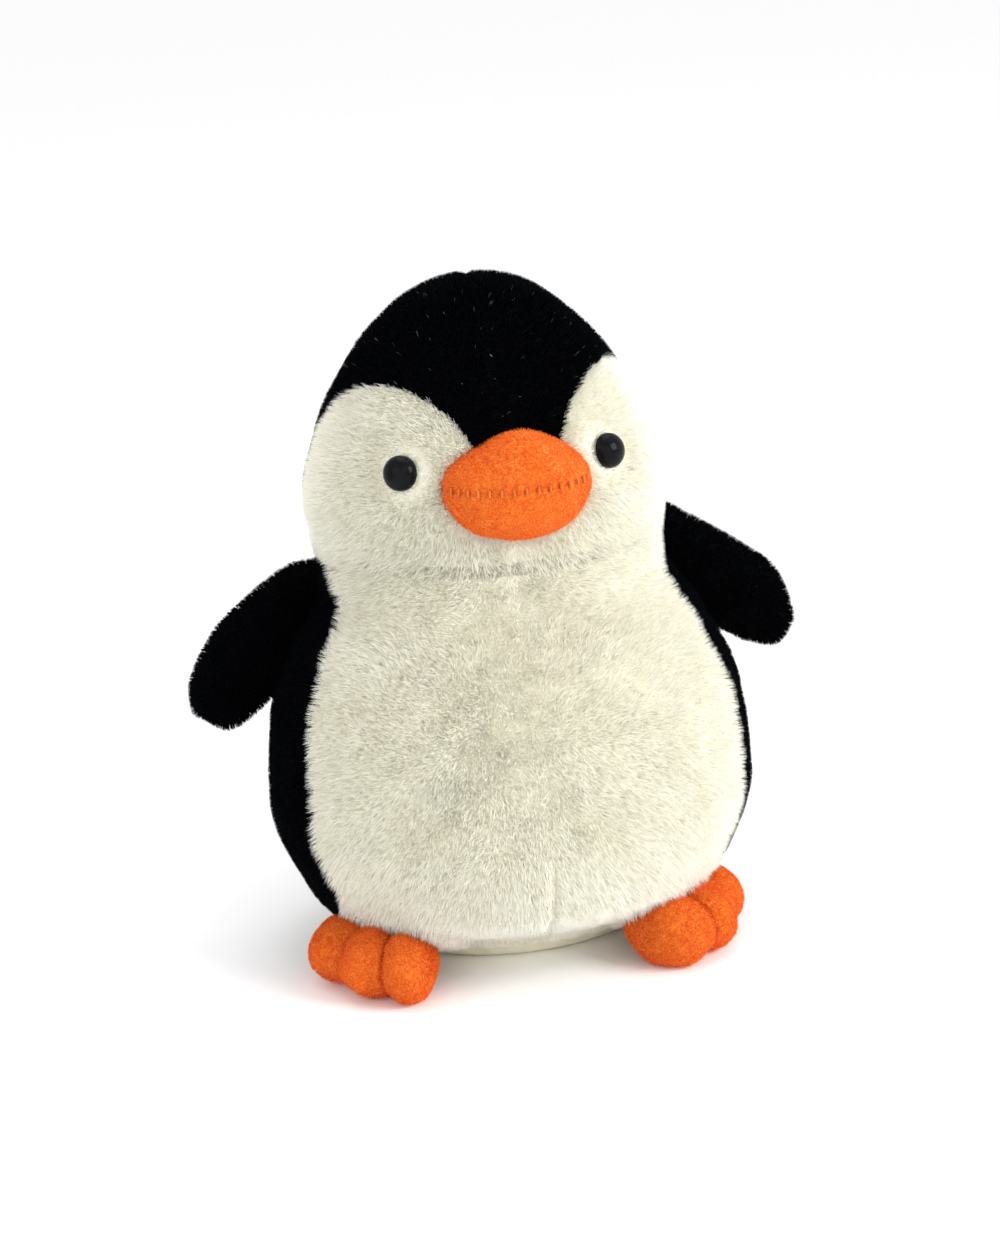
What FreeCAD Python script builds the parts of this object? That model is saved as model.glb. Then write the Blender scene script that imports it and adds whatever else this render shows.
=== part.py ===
import FreeCAD, Part
import os

# Plush penguin, 250 mm tall, sitting on its base. Millimetres, +Z up, the toy faces -Y.
# The origin is the centre of the base on the floor; the toy's left side is +X.

os.makedirs("parts", exist_ok=True)
doc = FreeCAD.newDocument("PlushPenguin")
sheet = doc.addObject("Spreadsheet::Sheet", "Sizes")

# ---------------------------------------------------------------- sizes
BODY_LEVELS = [
    # name, height, half width, depth in front of the axis, depth behind it
    ("sole", 0, 52, 40, 46),
    ("hem", 5, 63, 45, 57),
    ("tuck", 12, 71.5, 55, 64),
    ("haunch", 30, 81.5, 85, 69),
    ("belly", 60, 91, 94.5, 71),
    ("waist", 92, 88.5, 92, 70),
    ("shoulder", 120, 77.5, 77, 66),
    ("collar", 141, 66, 62.5, 62),
    ("jaw", 155, 66, 61.5, 63),
    ("cheek", 173, 67.5, 63.5, 66.5),
    ("brow", 195, 61.3, 58.3, 63.8),
    ("temple", 217, 50, 46.5, 52),
    ("dome", 234, 36, 33, 37),
    ("tuft", 245, 21.3, 19.3, 22),
    ("peak", 249.6, 7.5, 7, 7.5),
]

SIZES = [
    ("body_top", 250, "height of the finished toy"),
    ("skin_depth", 5, "backing fabric and combed pile of the body panels"),
    ("base_depth", 4, "base disc fabric with its stiffener"),
    ("hem_height", 7, "height of the seam round the base disc"),
    ("neck_height", 150, "height of the neck seam"),
    ("joint_gap", 0.8, "gap from the body to each foot"),
    ("flipper_gap", 1.5, "gap from the body to each flipper"),
    ("flank_radius", 127, "side-view radius of the belly and back seam"),
    ("flank_depth", 78, "centre of that seam's arc behind the axis"),
    ("flank_height", 60, "height of that seam's arc centre"),
    ("face_radius", 49, "radius of each face patch"),
    ("face_height", 169, "height of each face patch's centre"),
    ("face_bearing", 60, "bearing of each face patch from straight ahead"),
    ("face_turn", 4, "turn of both patches towards the toy's left"),
    ("chin_height", 187, "height where the two face patches meet"),
    ("beak_half_width", 26.5, "beak, across"),
    ("beak_half_height", 18.6, "beak, up and down"),
    ("beak_half_depth", 22, "beak, front to back"),
    ("beak_height", 182, "height of the beak's centre"),
    ("beak_across", 2, "beak centre beside the axis"),
    ("beak_seam_height", 184.3, "height of the seam round the beak"),
    ("beak_forward", 53, "beak centre in front of the axis"),
    ("short_skin", 1.6, "backing and short pile of the orange fabric"),
    ("thread_radius", 0.45, "heavy sewing thread"),
    ("eye_radius", 6.3, "safety eye, 12.6 mm across"),
    ("eye_dome", 5, "height of the eye's dome above its flange"),
    ("eye_flange", 0.8, "rim of the eye"),
    ("eye_across", 36.9, "eye seat centre beside the axis"),
    ("eye_forward", 46.7, "eye seat centre in front of the axis"),
    ("eye_height", 189.2, "height of the eye seat"),
    ("eye_bearing", 38, "way the eye looks, from straight ahead"),
    ("eye_tilt", 12, "way the eye looks, above level"),
    ("stem_radius", 1.75, "eye stem"),
    ("stem_length", 14, "eye stem behind the flange"),
    ("stem_ridge", 0.3, "height of the stem's locking ridges"),
    ("washer_radius", 7.5, "lock washer behind the fabric"),
    ("washer_depth", 1.4, "thickness of the lock washer"),
    ("washer_setback", 6.6, "flange to washer, past pile and backing"),
    ("hinge_across", 79, "middle of the flipper's side seam from the axis"),
    ("hinge_back", 2, "flipper's side seam behind the axis"),
    ("hinge_height", 125, "middle of the flipper's side seam"),
    ("hinge_tilt", 20.8, "lean of the side seam towards the neck"),
    ("wedge_angle", 25, "half angle of the flipper's thin root"),
    ("web_half", 0.8, "half thickness of the flipper's sewn edge"),
    ("flipper_skin", 2.4, "backing and pile of the flipper panels"),
    ("lift_left", 4, "set of the left flipper, tip up"),
    ("lift_right", -4, "set of the right flipper, tip down"),
    ("foot_bearing", 48, "bearing of each foot from straight ahead"),
    ("foot_hinge_reach", 81.5, "foot seam line from the axis"),
    ("foot_hinge_height", 23.6, "height of the foot's seam line"),
    ("sole_height", 6.5, "height of the seam round each sole"),
    ("toe_centre_height", 11.9, "height of the toes' centres"),
    ("loop_radius", 9.4, "thread loop between two toes"),
]

# name, centre across, centre height, half length, half width, half thickness
FLIPPER_LOBES = [
    ("blade", 86.5, 124, 38, 16.5, 7.2),
    ("outer_lobe", 107, 109, 13, 9.5, 5.8),
    ("lower_lobe", 98, 103, 15, 9, 5.8),
]
LOBE_LEAN = 38.3

# name, centre across, centre in front, bearing, half length, half width, half height
TOES = [
    ("inner_toe", 44.3, 60, 30, 19.5, 12, 12.9),
    ("middle_toe", 56, 51, 48, 21.5, 10.5, 12.6),
    ("outer_toe", 64.5, 36, 67, 20, 11.5, 12.9),
    ("ball", 57.6, 51.3, 48, 17, 24.6, 11.2),
]

# name, centre across, centre in front, bearing of the crease
CREASES = [
    ("inner_crease", 56.5, 62, 38),
    ("outer_crease", 66.5, 48, 57),
]

REACH = 300.0
BEAK_STITCHES = 15
BEAK_STITCH_SPREAD = 66.0
BEAK_STITCH_LENGTH = 2.4
STEM_RIDGES = 4

row = 1


def note(alias, value, words=""):
    """Write one driving size on its own row of the sheet."""
    global row
    sheet.set(f"A{row}", alias)
    sheet.set(f"B{row}", str(value))
    sheet.setAlias(f"B{row}", alias)
    sheet.set(f"C{row}", words)
    row += 1


for alias, value, words in SIZES:
    note(alias, value, words)
for level, height, half_width, front, back in BODY_LEVELS:
    note(f"{level}_level", height)
    note(f"{level}_half_width", half_width)
    note(f"{level}_front", front)
    note(f"{level}_back", back)
for lobe, across, height, long_half, wide_half, thick_half in FLIPPER_LOBES:
    note(f"{lobe}_across", across)
    note(f"{lobe}_height", height)
    note(f"{lobe}_long", long_half)
    note(f"{lobe}_wide", wide_half)
    note(f"{lobe}_thick", thick_half)
for toe, across, forward, bearing, long_half, wide_half, tall_half in TOES:
    note(f"{toe}_across", across)
    note(f"{toe}_forward", forward)
    note(f"{toe}_bearing", bearing)
    note(f"{toe}_long", long_half)
    note(f"{toe}_wide", wide_half)
    note(f"{toe}_tall", tall_half)
for crease, across, forward, bearing in CREASES:
    note(f"{crease}_across", across)
    note(f"{crease}_forward", forward)
    note(f"{crease}_bearing", bearing)
doc.recompute()


# ---------------------------------------------------------------- helpers
def bind(obj, **sizes):
    """Tie properties to the sheet; an underscore-joined x, y, z or turn sets the placement."""
    places = {
        "x": "Placement.Base.x",
        "y": "Placement.Base.y",
        "z": "Placement.Base.z",
        "turn": "Placement.Rotation.Angle",
    }
    for name, text in sizes.items():
        obj.setExpression(places.get(name, name), text)
    return obj


def turned(obj, axis):
    """Give an object a turning axis before its angle is bound."""
    obj.Placement = FreeCAD.Placement(
        FreeCAD.Vector(0, 0, 0), FreeCAD.Rotation(FreeCAD.Vector(*axis), 0)
    )
    return obj


def box(name, length, width, height, x, y, z):
    """A plain box from its size and its low corner, in the sheet's terms."""
    obj = doc.addObject("Part::Box", name)
    return bind(obj, Length=length, Width=width, Height=height, x=x, y=y, z=z)


def ellipsoid(name, x, y, z, along_x, along_y, along_z, axis=(0, 0, 1), turn="0 deg"):
    """A whole ellipsoid, turned about one axis at its centre."""
    obj = turned(doc.addObject("Part::Ellipsoid", name), axis)
    obj.Angle1 = -90
    obj.Angle2 = 90
    obj.Angle3 = 360
    return bind(
        obj, Radius1=along_z, Radius2=along_x, Radius3=along_y, x=x, y=y, z=z, turn=turn
    )


def cylinder(name, radius, height):
    """A cylinder standing on the origin."""
    return bind(doc.addObject("Part::Cylinder", name), Radius=radius, Height=height)


def cut(name, base, tool):
    obj = doc.addObject("Part::Cut", name)
    obj.Base = base
    obj.Tool = tool
    return obj


def common(name, base, tool):
    obj = doc.addObject("Part::Common", name)
    obj.Base = base
    obj.Tool = tool
    return obj


def fuse(name, *shapes):
    obj = doc.addObject("Part::MultiFuse", name)
    obj.Shapes = list(shapes)
    return obj


def group(name, *shapes):
    obj = doc.addObject("Part::Compound", name)
    obj.Links = list(shapes)
    return obj


def body_loft(name, inset, floor, ceiling):
    """The seated body as a loft of ellipses, drawn in by inset on every side."""
    rings = []
    for level, _, _, _, _ in BODY_LEVELS:
        size = f"Sizes.{level}_"
        depth = f"({size}front + {size}back) / 2"
        ring = doc.addObject("Part::Ellipse", f"{name}_{level}")
        bind(
            ring,
            MajorRadius=f"max({size}half_width - {inset}; 1.6)",
            MinorRadius=f"max({depth} - {inset}; 1.5)",
            y=f"({size}back - {size}front) / 2",
            z=f"{floor} + {size}level * ({ceiling} - {floor}) / Sizes.body_top",
        )
        rings.append(ring)
    loft = doc.addObject("Part::Loft", name)
    loft.Sections = rings
    loft.Solid = True
    loft.Ruled = False
    return loft


def side_word(side):
    return "left" if side > 0 else "right"


# ---------------------------------------------------------------- body
outer = body_loft("body_outside", "0", "0", "Sizes.body_top")
inner = body_loft(
    "body_inside", "Sizes.skin_depth", "Sizes.base_depth", "(Sizes.body_top - Sizes.skin_depth)"
)
clear = body_loft(
    "body_clearance", "(0 - Sizes.joint_gap)", "(0 - Sizes.joint_gap)", "Sizes.body_top"
)
flipper_clear = body_loft(
    "flipper_clearance", "(0 - Sizes.flipper_gap)", "(0 - Sizes.flipper_gap)", "Sizes.body_top"
)
wall = cut("body_wall", outer, inner)

whole = f"{2 * REACH}"
low = f"-{REACH}"
base_slab = box("base_slab", whole, whole, f"Sizes.hem_height + {REACH}", low, low, low)
head_block = box("head_block", whole, whole, whole, low, low, "Sizes.neck_height")
half_blocks = {
    1: box("left_block", whole, whole, whole, "0", low, low),
    -1: box("right_block", whole, whole, whole, f"-{2 * REACH}", low, low),
}

base_panel = common("base_panel", wall, base_slab)
upper_wall = cut("upper_wall", wall, base_slab)

beak_outside = ellipsoid(
    "beak_outside",
    "Sizes.beak_across", "-Sizes.beak_forward", "Sizes.beak_height",
    "Sizes.beak_half_width", "Sizes.beak_half_height", "Sizes.beak_half_depth",
    axis=(1, 0, 0), turn="90 deg",
)
beak_inside = ellipsoid(
    "beak_inside",
    "Sizes.beak_across", "-Sizes.beak_forward", "Sizes.beak_height",
    "Sizes.beak_half_width - Sizes.short_skin",
    "Sizes.beak_half_height - Sizes.short_skin",
    "Sizes.beak_half_depth - Sizes.short_skin",
    axis=(1, 0, 0), turn="90 deg",
)
head_wall = common("head_wall", upper_wall, head_block)
trunk_wall = cut("trunk_wall", upper_wall, head_block)

flank = turned(cylinder("flank_arc", "Sizes.flank_radius", whole), (0, 1, 0))
bind(flank, x=low, y="Sizes.flank_depth", z="Sizes.flank_height", turn="90 deg")
back_wall = common("back_wall", trunk_wall, flank)
belly_wall = cut("belly_wall", trunk_wall, flank)


# ---------------------------------------------------------------- eyes
def aim(obj, side, setback):
    """Place an upright solid along an eye's own line, set back from the seat."""
    across = "Sizes.eye_across" if side > 0 else "-Sizes.eye_across"
    flat = f"({setback}) * cos(Sizes.eye_tilt * 1 deg)"
    turned(obj, (1, 0, 0))
    bind(
        obj,
        x=f"{across} - {side} * {flat} * sin(Sizes.eye_bearing * 1 deg)",
        y=f"-Sizes.eye_forward + {flat} * cos(Sizes.eye_bearing * 1 deg)",
        z=f"Sizes.eye_height - ({setback}) * sin(Sizes.eye_tilt * 1 deg)",
        turn="90 deg - Sizes.eye_tilt * 1 deg",
    )
    obj.setExpression("Placement.Rotation.Axis.x", "cos(Sizes.eye_bearing * 1 deg)")
    obj.setExpression("Placement.Rotation.Axis.y", f"{side} * sin(Sizes.eye_bearing * 1 deg)")
    obj.setExpression("Placement.Rotation.Axis.z", "0")
    return obj


eyes, washers, eye_holes, pockets = {}, {}, {}, []
for side in (1, -1):
    word = side_word(side)
    dome = ellipsoid(
        f"eye_dome_{word}",
        "0", "0", "Sizes.eye_flange", "Sizes.eye_radius", "Sizes.eye_radius", "Sizes.eye_dome",
    )
    dome.Angle1 = 0
    flange = cylinder(f"eye_flange_{word}", "Sizes.eye_radius", "Sizes.eye_flange")
    stem = cylinder(f"eye_stem_{word}", "Sizes.stem_radius", "Sizes.stem_length")
    bind(stem, z="-Sizes.stem_length")
    ridges = []
    for i in range(STEM_RIDGES):
        ridge = cylinder(
            f"eye_ridge_{word}_{i}", "Sizes.stem_radius + Sizes.stem_ridge", "0.6"
        )
        bind(ridge, z=f"-Sizes.washer_setback - Sizes.washer_depth - 1.2 - {1.5 * i}")
        ridges.append(ridge)
    eyes[side] = aim(fuse(f"eye_{word}", dome, flange, stem, *ridges), side, "0")

    disc = cylinder(f"washer_disc_{word}", "Sizes.washer_radius", "Sizes.washer_depth")
    collar = cylinder(f"washer_collar_{word}", "Sizes.stem_radius + 1.3", "2.4")
    hole = cylinder(f"washer_hole_{word}", "Sizes.stem_radius + Sizes.stem_ridge + 0.02", "9")
    bind(collar, z="-1")
    bind(hole, z="-4")
    blank = fuse(f"washer_blank_{word}", disc, collar)
    washers[side] = aim(
        cut(f"eye_washer_{word}", blank, hole), side,
        "Sizes.washer_setback + Sizes.washer_depth",
    )

    seat = cylinder(f"eye_seat_{word}", "Sizes.eye_radius", "30")
    bore = cylinder(f"eye_bore_{word}", "Sizes.stem_radius + 0.1", "30")
    bind(bore, z="-20")
    eye_holes[side] = aim(fuse(f"eye_hole_{word}", seat, bore), side, "0")
    pocket = cylinder(f"eye_pocket_{word}", "Sizes.washer_radius + 0.1", "Sizes.stem_length + 1")
    pockets.append(aim(pocket, side, "Sizes.stem_length + 1"))

# ---------------------------------------------------------------- body panels
nodes = []


def keep(obj, label):
    """Name a finished sub-part."""
    obj.Label = label
    nodes.append(obj)
    return obj


zones = {}
for side in (1, -1):
    word = side_word(side)
    patch = turned(cylinder(f"face_round_{word}", "Sizes.face_radius", f"{REACH}"), (1, 0, 0))
    bearing = f"(Sizes.face_bearing + {side} * Sizes.face_turn) * 1 deg"
    bind(patch, z="Sizes.face_height", turn="90 deg")
    patch.setExpression("Placement.Rotation.Axis.x", f"cos({bearing})")
    patch.setExpression("Placement.Rotation.Axis.y", f"{side} * sin({bearing})")
    patch.setExpression("Placement.Rotation.Axis.z", "0")
    chin = box(
        f"chin_block_{word}", "30", "120", "Sizes.chin_height - Sizes.neck_height + 5",
        "0" if side > 0 else "-30", "-120", "Sizes.neck_height - 5",
    )
    zones[side] = fuse(f"face_zone_{word}", patch, chin)
crown_wall = cut("crown_wall", head_wall, fuse("face_zones", *zones.values()))
crown_cloth = cut("crown_cloth", crown_wall, beak_outside)

for side in (1, -1):
    word = side_word(side)
    half = half_blocks[side]
    face = common(f"face_piece_{word}", head_wall, zones[side])
    face_cloth = cut(f"face_cloth_{word}", face, beak_outside)
    keep(cut(f"face_panel_{word}", face_cloth, eye_holes[side]), f"face_{word}_panel")
    keep(common(f"crown_panel_{word}", crown_cloth, half), f"crown_{word}_panel")
    keep(common(f"belly_panel_{word}", belly_wall, half), f"belly_{word}_panel")
    keep(common(f"back_panel_{word}", back_wall, half), f"back_{word}_panel")
    keep(eyes[side], f"eye_{word}")
    keep(washers[side], f"eye_washer_{word}")
keep(base_panel, "base_panel")
keep(cut("stuffing", inner, fuse("eye_pockets", *pockets)), "body_stuffing")

# ---------------------------------------------------------------- beak
beak_skin = cut("beak_skin", cut("beak_bag", beak_outside, beak_inside), inner)
stitches = []
for i in range(BEAK_STITCHES):
    spread = (2 * i / (BEAK_STITCHES - 1) - 1) * BEAK_STITCH_SPREAD
    stitch = cylinder(f"beak_stitch_{i}", "Sizes.thread_radius", f"{BEAK_STITCH_LENGTH}")
    bind(
        stitch,
        x=f"Sizes.beak_across + (Sizes.beak_half_width - 0.1) * sin({spread} deg)",
        y=f"-Sizes.beak_forward - (Sizes.beak_half_depth - 0.1) * cos({spread} deg)",
        z=f"Sizes.beak_seam_height - {BEAK_STITCH_LENGTH / 2}",
    )
    stitches.append(stitch)
beak_thread = group("beak_thread", *stitches)
beak_cloth = cut("beak_cloth", beak_skin, beak_thread)
beak_top = box("beak_top_block", "80", "120", "40", "-40", "-120", "Sizes.beak_seam_height")
keep(common("beak_upper", beak_cloth, beak_top), "beak_upper_panel")
keep(cut("beak_lower", beak_cloth, beak_top), "beak_lower_panel")
keep(beak_thread, "beak_seam_stitches")
keep(cut("beak_fill", beak_inside, inner), "beak_stuffing")


# ---------------------------------------------------------------- flippers
def lift(obj, side):
    """Turn a flipper solid about the middle of its side seam, tip up for a positive lift."""
    angle = f"({side} * Sizes.lift_{side_word(side)} * 1 deg)"
    turned(obj, (0, 1, 0))
    across = f"{side} * Sizes.hinge_across"
    return bind(
        obj,
        x=f"{across} - ({across} * cos({angle}) - Sizes.hinge_height * sin({angle}))",
        z=f"Sizes.hinge_height - ({across} * sin({angle}) + Sizes.hinge_height * cos({angle}))",
        turn=f"-{angle}",
    )


def flipper_lobes(side, layer, inset):
    """The flipper's blade and two lobes at its tip, drawn in by inset."""
    word = side_word(side)
    lobes = []
    for lobe, _, _, _, _, _ in FLIPPER_LOBES:
        size = f"Sizes.{lobe}_"
        lobes.append(
            ellipsoid(
                f"{lobe}_{layer}_{word}",
                f"{side} * {size}across", "Sizes.hinge_back", f"{size}height",
                f"{size}wide - {inset}", f"{size}thick - {inset}", f"{size}long - {inset}",
                axis=(0, 1, 0), turn=f"{-side * LOBE_LEAN} deg",
            )
        )
    return lift(fuse(f"flipper_{layer}_{word}", *lobes), side)


def flipper_trim(side, layer, start):
    """Everything outside the wedge that fans out from the side seam and its thin seam edge."""
    word = side_word(side)
    long, deep = 120.0, 80.0
    blocks = []
    for face in (1, -1):
        block = turned(
            doc.addObject("Part::Box", f"wedge_block_{layer}_{word}_{face}"), (0, 0, 1)
        )
        angle = f"({face} * Sizes.wedge_angle * 1 deg)"
        bind(block, Length=f"{deep}", Width=f"{deep}", Height=f"{long}", z=f"-{long / 2}")
        if face > 0:
            bind(block, x=f"{start}", turn=angle)
        else:
            bind(
                block,
                x=f"{start} + {deep} * sin({angle})",
                y=f"-{deep} * cos({angle})",
                turn=angle,
            )
        blocks.append(block)
    behind = box(
        f"wedge_back_{layer}_{word}", f"{deep}", f"{2 * deep}", f"{long}",
        f"{start} - {deep}", f"-{deep}", f"-{long / 2}",
    )
    trim = fuse(f"wedge_{layer}_{word}", *blocks, behind)
    if layer == "outside":
        web = box(
            f"seam_web_{word}", "20", "2 * Sizes.web_half", f"{long - 10}",
            "-16", "-Sizes.web_half", f"-{long / 2 - 5}",
        )
        trim = cut(f"wedge_web_{word}", trim, web)
    if side < 0:
        mirror = doc.addObject("Part::Mirroring", f"wedge_mirror_{layer}_{word}")
        mirror.Source = trim
        mirror.Base = FreeCAD.Vector(0, 0, 0)
        mirror.Normal = FreeCAD.Vector(1, 0, 0)
        trim = group(f"wedge_turned_{layer}_{word}", mirror)
    turned(trim, (0, 1, 0))
    return bind(
        trim,
        x=f"{side} * Sizes.hinge_across",
        y="Sizes.hinge_back",
        z="Sizes.hinge_height",
        turn=f"-{side} * (Sizes.hinge_tilt + Sizes.lift_{word}) * 1 deg",
    )


for side in (1, -1):
    word = side_word(side)
    bag = cut(
        f"flipper_bag_{word}",
        flipper_lobes(side, "outside", "0"),
        fuse(f"flipper_limit_{word}", flipper_trim(side, "outside", "0.3"), flipper_clear),
    )
    fill = cut(
        f"flipper_fill_{word}",
        flipper_lobes(side, "inside", "Sizes.flipper_skin"),
        fuse(
            f"flipper_fill_limit_{word}",
            flipper_trim(side, "inside", "Sizes.flipper_skin / sin(Sizes.wedge_angle * 1 deg)"),
            flipper_clear,
        ),
    )
    skin = cut(f"flipper_skin_{word}", bag, fill)
    front = box(f"flipper_front_block_{word}", whole, f"{REACH}", whole, low, "0", low)
    bind(front, y=f"Sizes.hinge_back - {REACH}")
    keep(common(f"flipper_front_{word}", skin, front), f"flipper_{word}_front_panel")
    keep(cut(f"flipper_rear_{word}", skin, front), f"flipper_{word}_rear_panel")
    keep(fill, f"flipper_{word}_stuffing")


# ---------------------------------------------------------------- feet
def foot_lobes(side, layer, inset):
    """Three toes on the ball of the foot, drawn in by inset and flat underneath."""
    word = side_word(side)
    toes = []
    for toe, _, _, _, _, _, _ in TOES:
        size = f"Sizes.{toe}_"
        toes.append(
            ellipsoid(
                f"{toe}_{layer}_{word}",
                f"{side} * {size}across", f"-{size}forward", "Sizes.toe_centre_height",
                f"{size}wide - {inset}", f"{size}long - {inset}", f"{size}tall - {inset}",
                turn=f"{side} * {size}bearing * 1 deg",
            )
        )
    floor = box(f"floor_{layer}_{word}", whole, whole, f"{REACH}", low, low, low)
    bind(floor, z=f"{inset} - {REACH}")
    return cut(f"foot_{layer}_{word}", fuse(f"toes_{layer}_{word}", *toes), floor)


def heel_limit(side, layer, inset):
    """The space behind the foot's seam line, apart from a round heel about that line."""
    word = side_word(side)
    reach = f"(Sizes.foot_hinge_reach + {inset})"
    bearing = "Sizes.foot_bearing * 1 deg"
    rear = turned(
        doc.addObject("Part::Box", f"heel_block_{layer}_{word}"), (0, 0, 1)
    )
    roll = turned(
        doc.addObject("Part::Cylinder", f"heel_round_{layer}_{word}"), (0, 1, 0)
    )
    bind(rear, Length="120", Width="80", Height="80", x="-60", z="-20")
    bind(
        roll,
        Radius=f"Sizes.foot_hinge_height - {inset}",
        Height="140", x="-70", z="Sizes.foot_hinge_height", turn="90 deg",
    )
    limit = turned(cut(f"heel_limit_{layer}_{word}", rear, roll), (0, 0, 1))
    return bind(
        limit,
        x=f"{side} * {reach} * sin({bearing})",
        y=f"-{reach} * cos({bearing})",
        turn=f"{side} * {bearing}",
    )


for side in (1, -1):
    word = side_word(side)
    edge = fuse(f"foot_edge_{word}", heel_limit(side, "outside", "0"), clear)
    bag = cut(f"foot_bag_{word}", foot_lobes(side, "outside", "0"), edge)
    loops = []
    for crease, _, _, _ in CREASES:
        size = f"Sizes.{crease}_"
        loop = turned(doc.addObject("Part::Torus", f"{crease}_loop_{word}"), (1, 0, 0))
        bind(
            loop,
            Radius1="Sizes.loop_radius", Radius2="Sizes.thread_radius",
            x=f"{side} * {size}across", y=f"-{size}forward", z="Sizes.toe_centre_height",
            turn="90 deg",
        )
        loop.setExpression("Placement.Rotation.Axis.x", f"sin({size}bearing * 1 deg)")
        loop.setExpression("Placement.Rotation.Axis.y", f"-{side} * cos({size}bearing * 1 deg)")
        loops.append(loop)
    thread = group(f"toe_thread_{word}", *loops)
    inset = "Sizes.short_skin"
    fill = cut(
        f"foot_fill_{word}",
        cut(
            f"foot_core_{word}",
            foot_lobes(side, "inside", inset),
            fuse(f"foot_core_edge_{word}", heel_limit(side, "inside", inset), clear),
        ),
        thread,
    )
    skin = cut(f"foot_skin_{word}", cut(f"foot_cloth_{word}", bag, thread), fill)
    top = box(f"foot_top_block_{word}", whole, whole, whole, low, low, "Sizes.sole_height")
    keep(common(f"foot_top_{word}", skin, top), f"foot_{word}_top_panel")
    keep(cut(f"foot_sole_{word}", skin, top), f"foot_{word}_sole_panel")
    keep(fill, f"foot_{word}_stuffing")
    keep(cut(f"toe_stitching_{word}", thread, edge), f"foot_{word}_toe_stitches")

# ---------------------------------------------------------------- check and write
doc.recompute()
for obj in doc.Objects:
    if "Invalid" in obj.State or "Error" in obj.State:
        raise RuntimeError(f"{obj.Name} did not compute: {obj.State}")
for obj in nodes:
    if obj.Shape.isNull() or not obj.Shape.isValid():
        raise RuntimeError(f"{obj.Label} is not a valid shape")
    if not obj.Shape.Solids:
        raise RuntimeError(f"{obj.Label} holds no solid")
    obj.Shape.exportStep(f"parts/{obj.Label}.step")
    print(f"{obj.Label}: {len(obj.Shape.Solids)} solid, {obj.Shape.Volume:.0f} mm3")
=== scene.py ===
import math

import bmesh
import bpy
import numpy as np
from mathutils import Matrix, Vector
from mathutils.bvhtree import BVHTree
from mathutils.kdtree import KDTree


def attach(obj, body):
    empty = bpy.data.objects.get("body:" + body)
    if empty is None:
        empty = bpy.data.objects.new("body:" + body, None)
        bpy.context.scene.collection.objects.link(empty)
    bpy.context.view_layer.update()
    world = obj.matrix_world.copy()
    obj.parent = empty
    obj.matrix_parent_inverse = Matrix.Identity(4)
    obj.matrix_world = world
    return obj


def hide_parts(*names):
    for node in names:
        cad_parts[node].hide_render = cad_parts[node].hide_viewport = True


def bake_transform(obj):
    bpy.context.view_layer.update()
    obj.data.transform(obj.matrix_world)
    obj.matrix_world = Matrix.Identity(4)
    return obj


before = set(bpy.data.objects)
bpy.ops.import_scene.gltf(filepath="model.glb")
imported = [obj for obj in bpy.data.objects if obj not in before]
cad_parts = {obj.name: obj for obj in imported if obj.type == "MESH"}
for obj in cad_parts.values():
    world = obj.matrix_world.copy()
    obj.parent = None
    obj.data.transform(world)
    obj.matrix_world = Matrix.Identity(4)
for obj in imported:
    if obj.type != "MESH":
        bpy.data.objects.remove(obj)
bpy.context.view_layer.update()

# Plush penguin: pile, seams and stuffing over the CAD frame. Tables are in millimetres, meshes in metres.
# +Z up, the toy faces -Y, its left side is +X.
MM = 0.001

# ---------------------------------------------------------------- body surface
BODY_LEVELS = np.array([
    # height, half width, depth in front of the axis, depth behind it
    (0, 52, 40, 46), (5, 63, 45, 57), (12, 71.5, 55, 64), (30, 81.5, 85, 69), (60, 91, 94.5, 71),
    (92, 88.5, 92, 70), (120, 77.5, 77, 66), (141, 66, 62.5, 62), (155, 66, 61.5, 63),
    (173, 67.5, 63.5, 66.5), (195, 61.3, 58.3, 63.8), (217, 50, 46.5, 52), (234, 36, 33, 37),
    (245, 21.3, 19.3, 22), (249.6, 7.5, 7, 7.5), (250.3, 0.6, 0.6, 0.6),
], float)
ROW_STEP = 1.3
COLUMNS = 420
NECK_HEIGHT = 151.0
NECK_DEPTH = 0.9
NECK_SPREAD = 5.0
HEM_HEIGHT = 7.0
FLANK_Y, FLANK_Z, FLANK_RADIUS = 78.0, 60.0, 127.0
FACE_RADIUS, FACE_HEIGHT = 49.0, 169.0
FACE_BEARINGS = (64.0, -56.0)
CHIN_HEIGHT = 187.0
EYE_SEAT = np.array((36.9, -46.7, 189.2))
BEAK_CENTRE = np.array((2.0, -53.0, 182.0))
BEAK_HALF = np.array((26.5, 22.0, 18.6))
TOES = [
    # centre across, centre in front, bearing, half length, half width, half height
    (44.3, 60, 30, 19.5, 12, 12.9),
    (56, 51, 48, 21.5, 10.5, 12.6),
    (64.5, 36, 67, 20, 11.5, 12.9),
    (57.6, 51.3, 48, 17, 24.6, 11.2),
]
TOE_HEIGHT = 11.9
SOLE_HEIGHT = 6.5
CREAM_PILE, BLACK_PILE = 4.8, 3.2


def unit(v):
    return v / np.maximum(np.linalg.norm(v, axis=-1, keepdims=True), 1e-9)


def ramp(low, high, x):
    t = np.clip((x - low) / (high - low), 0, 1)
    return t * t * (3 - 2 * t)


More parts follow.
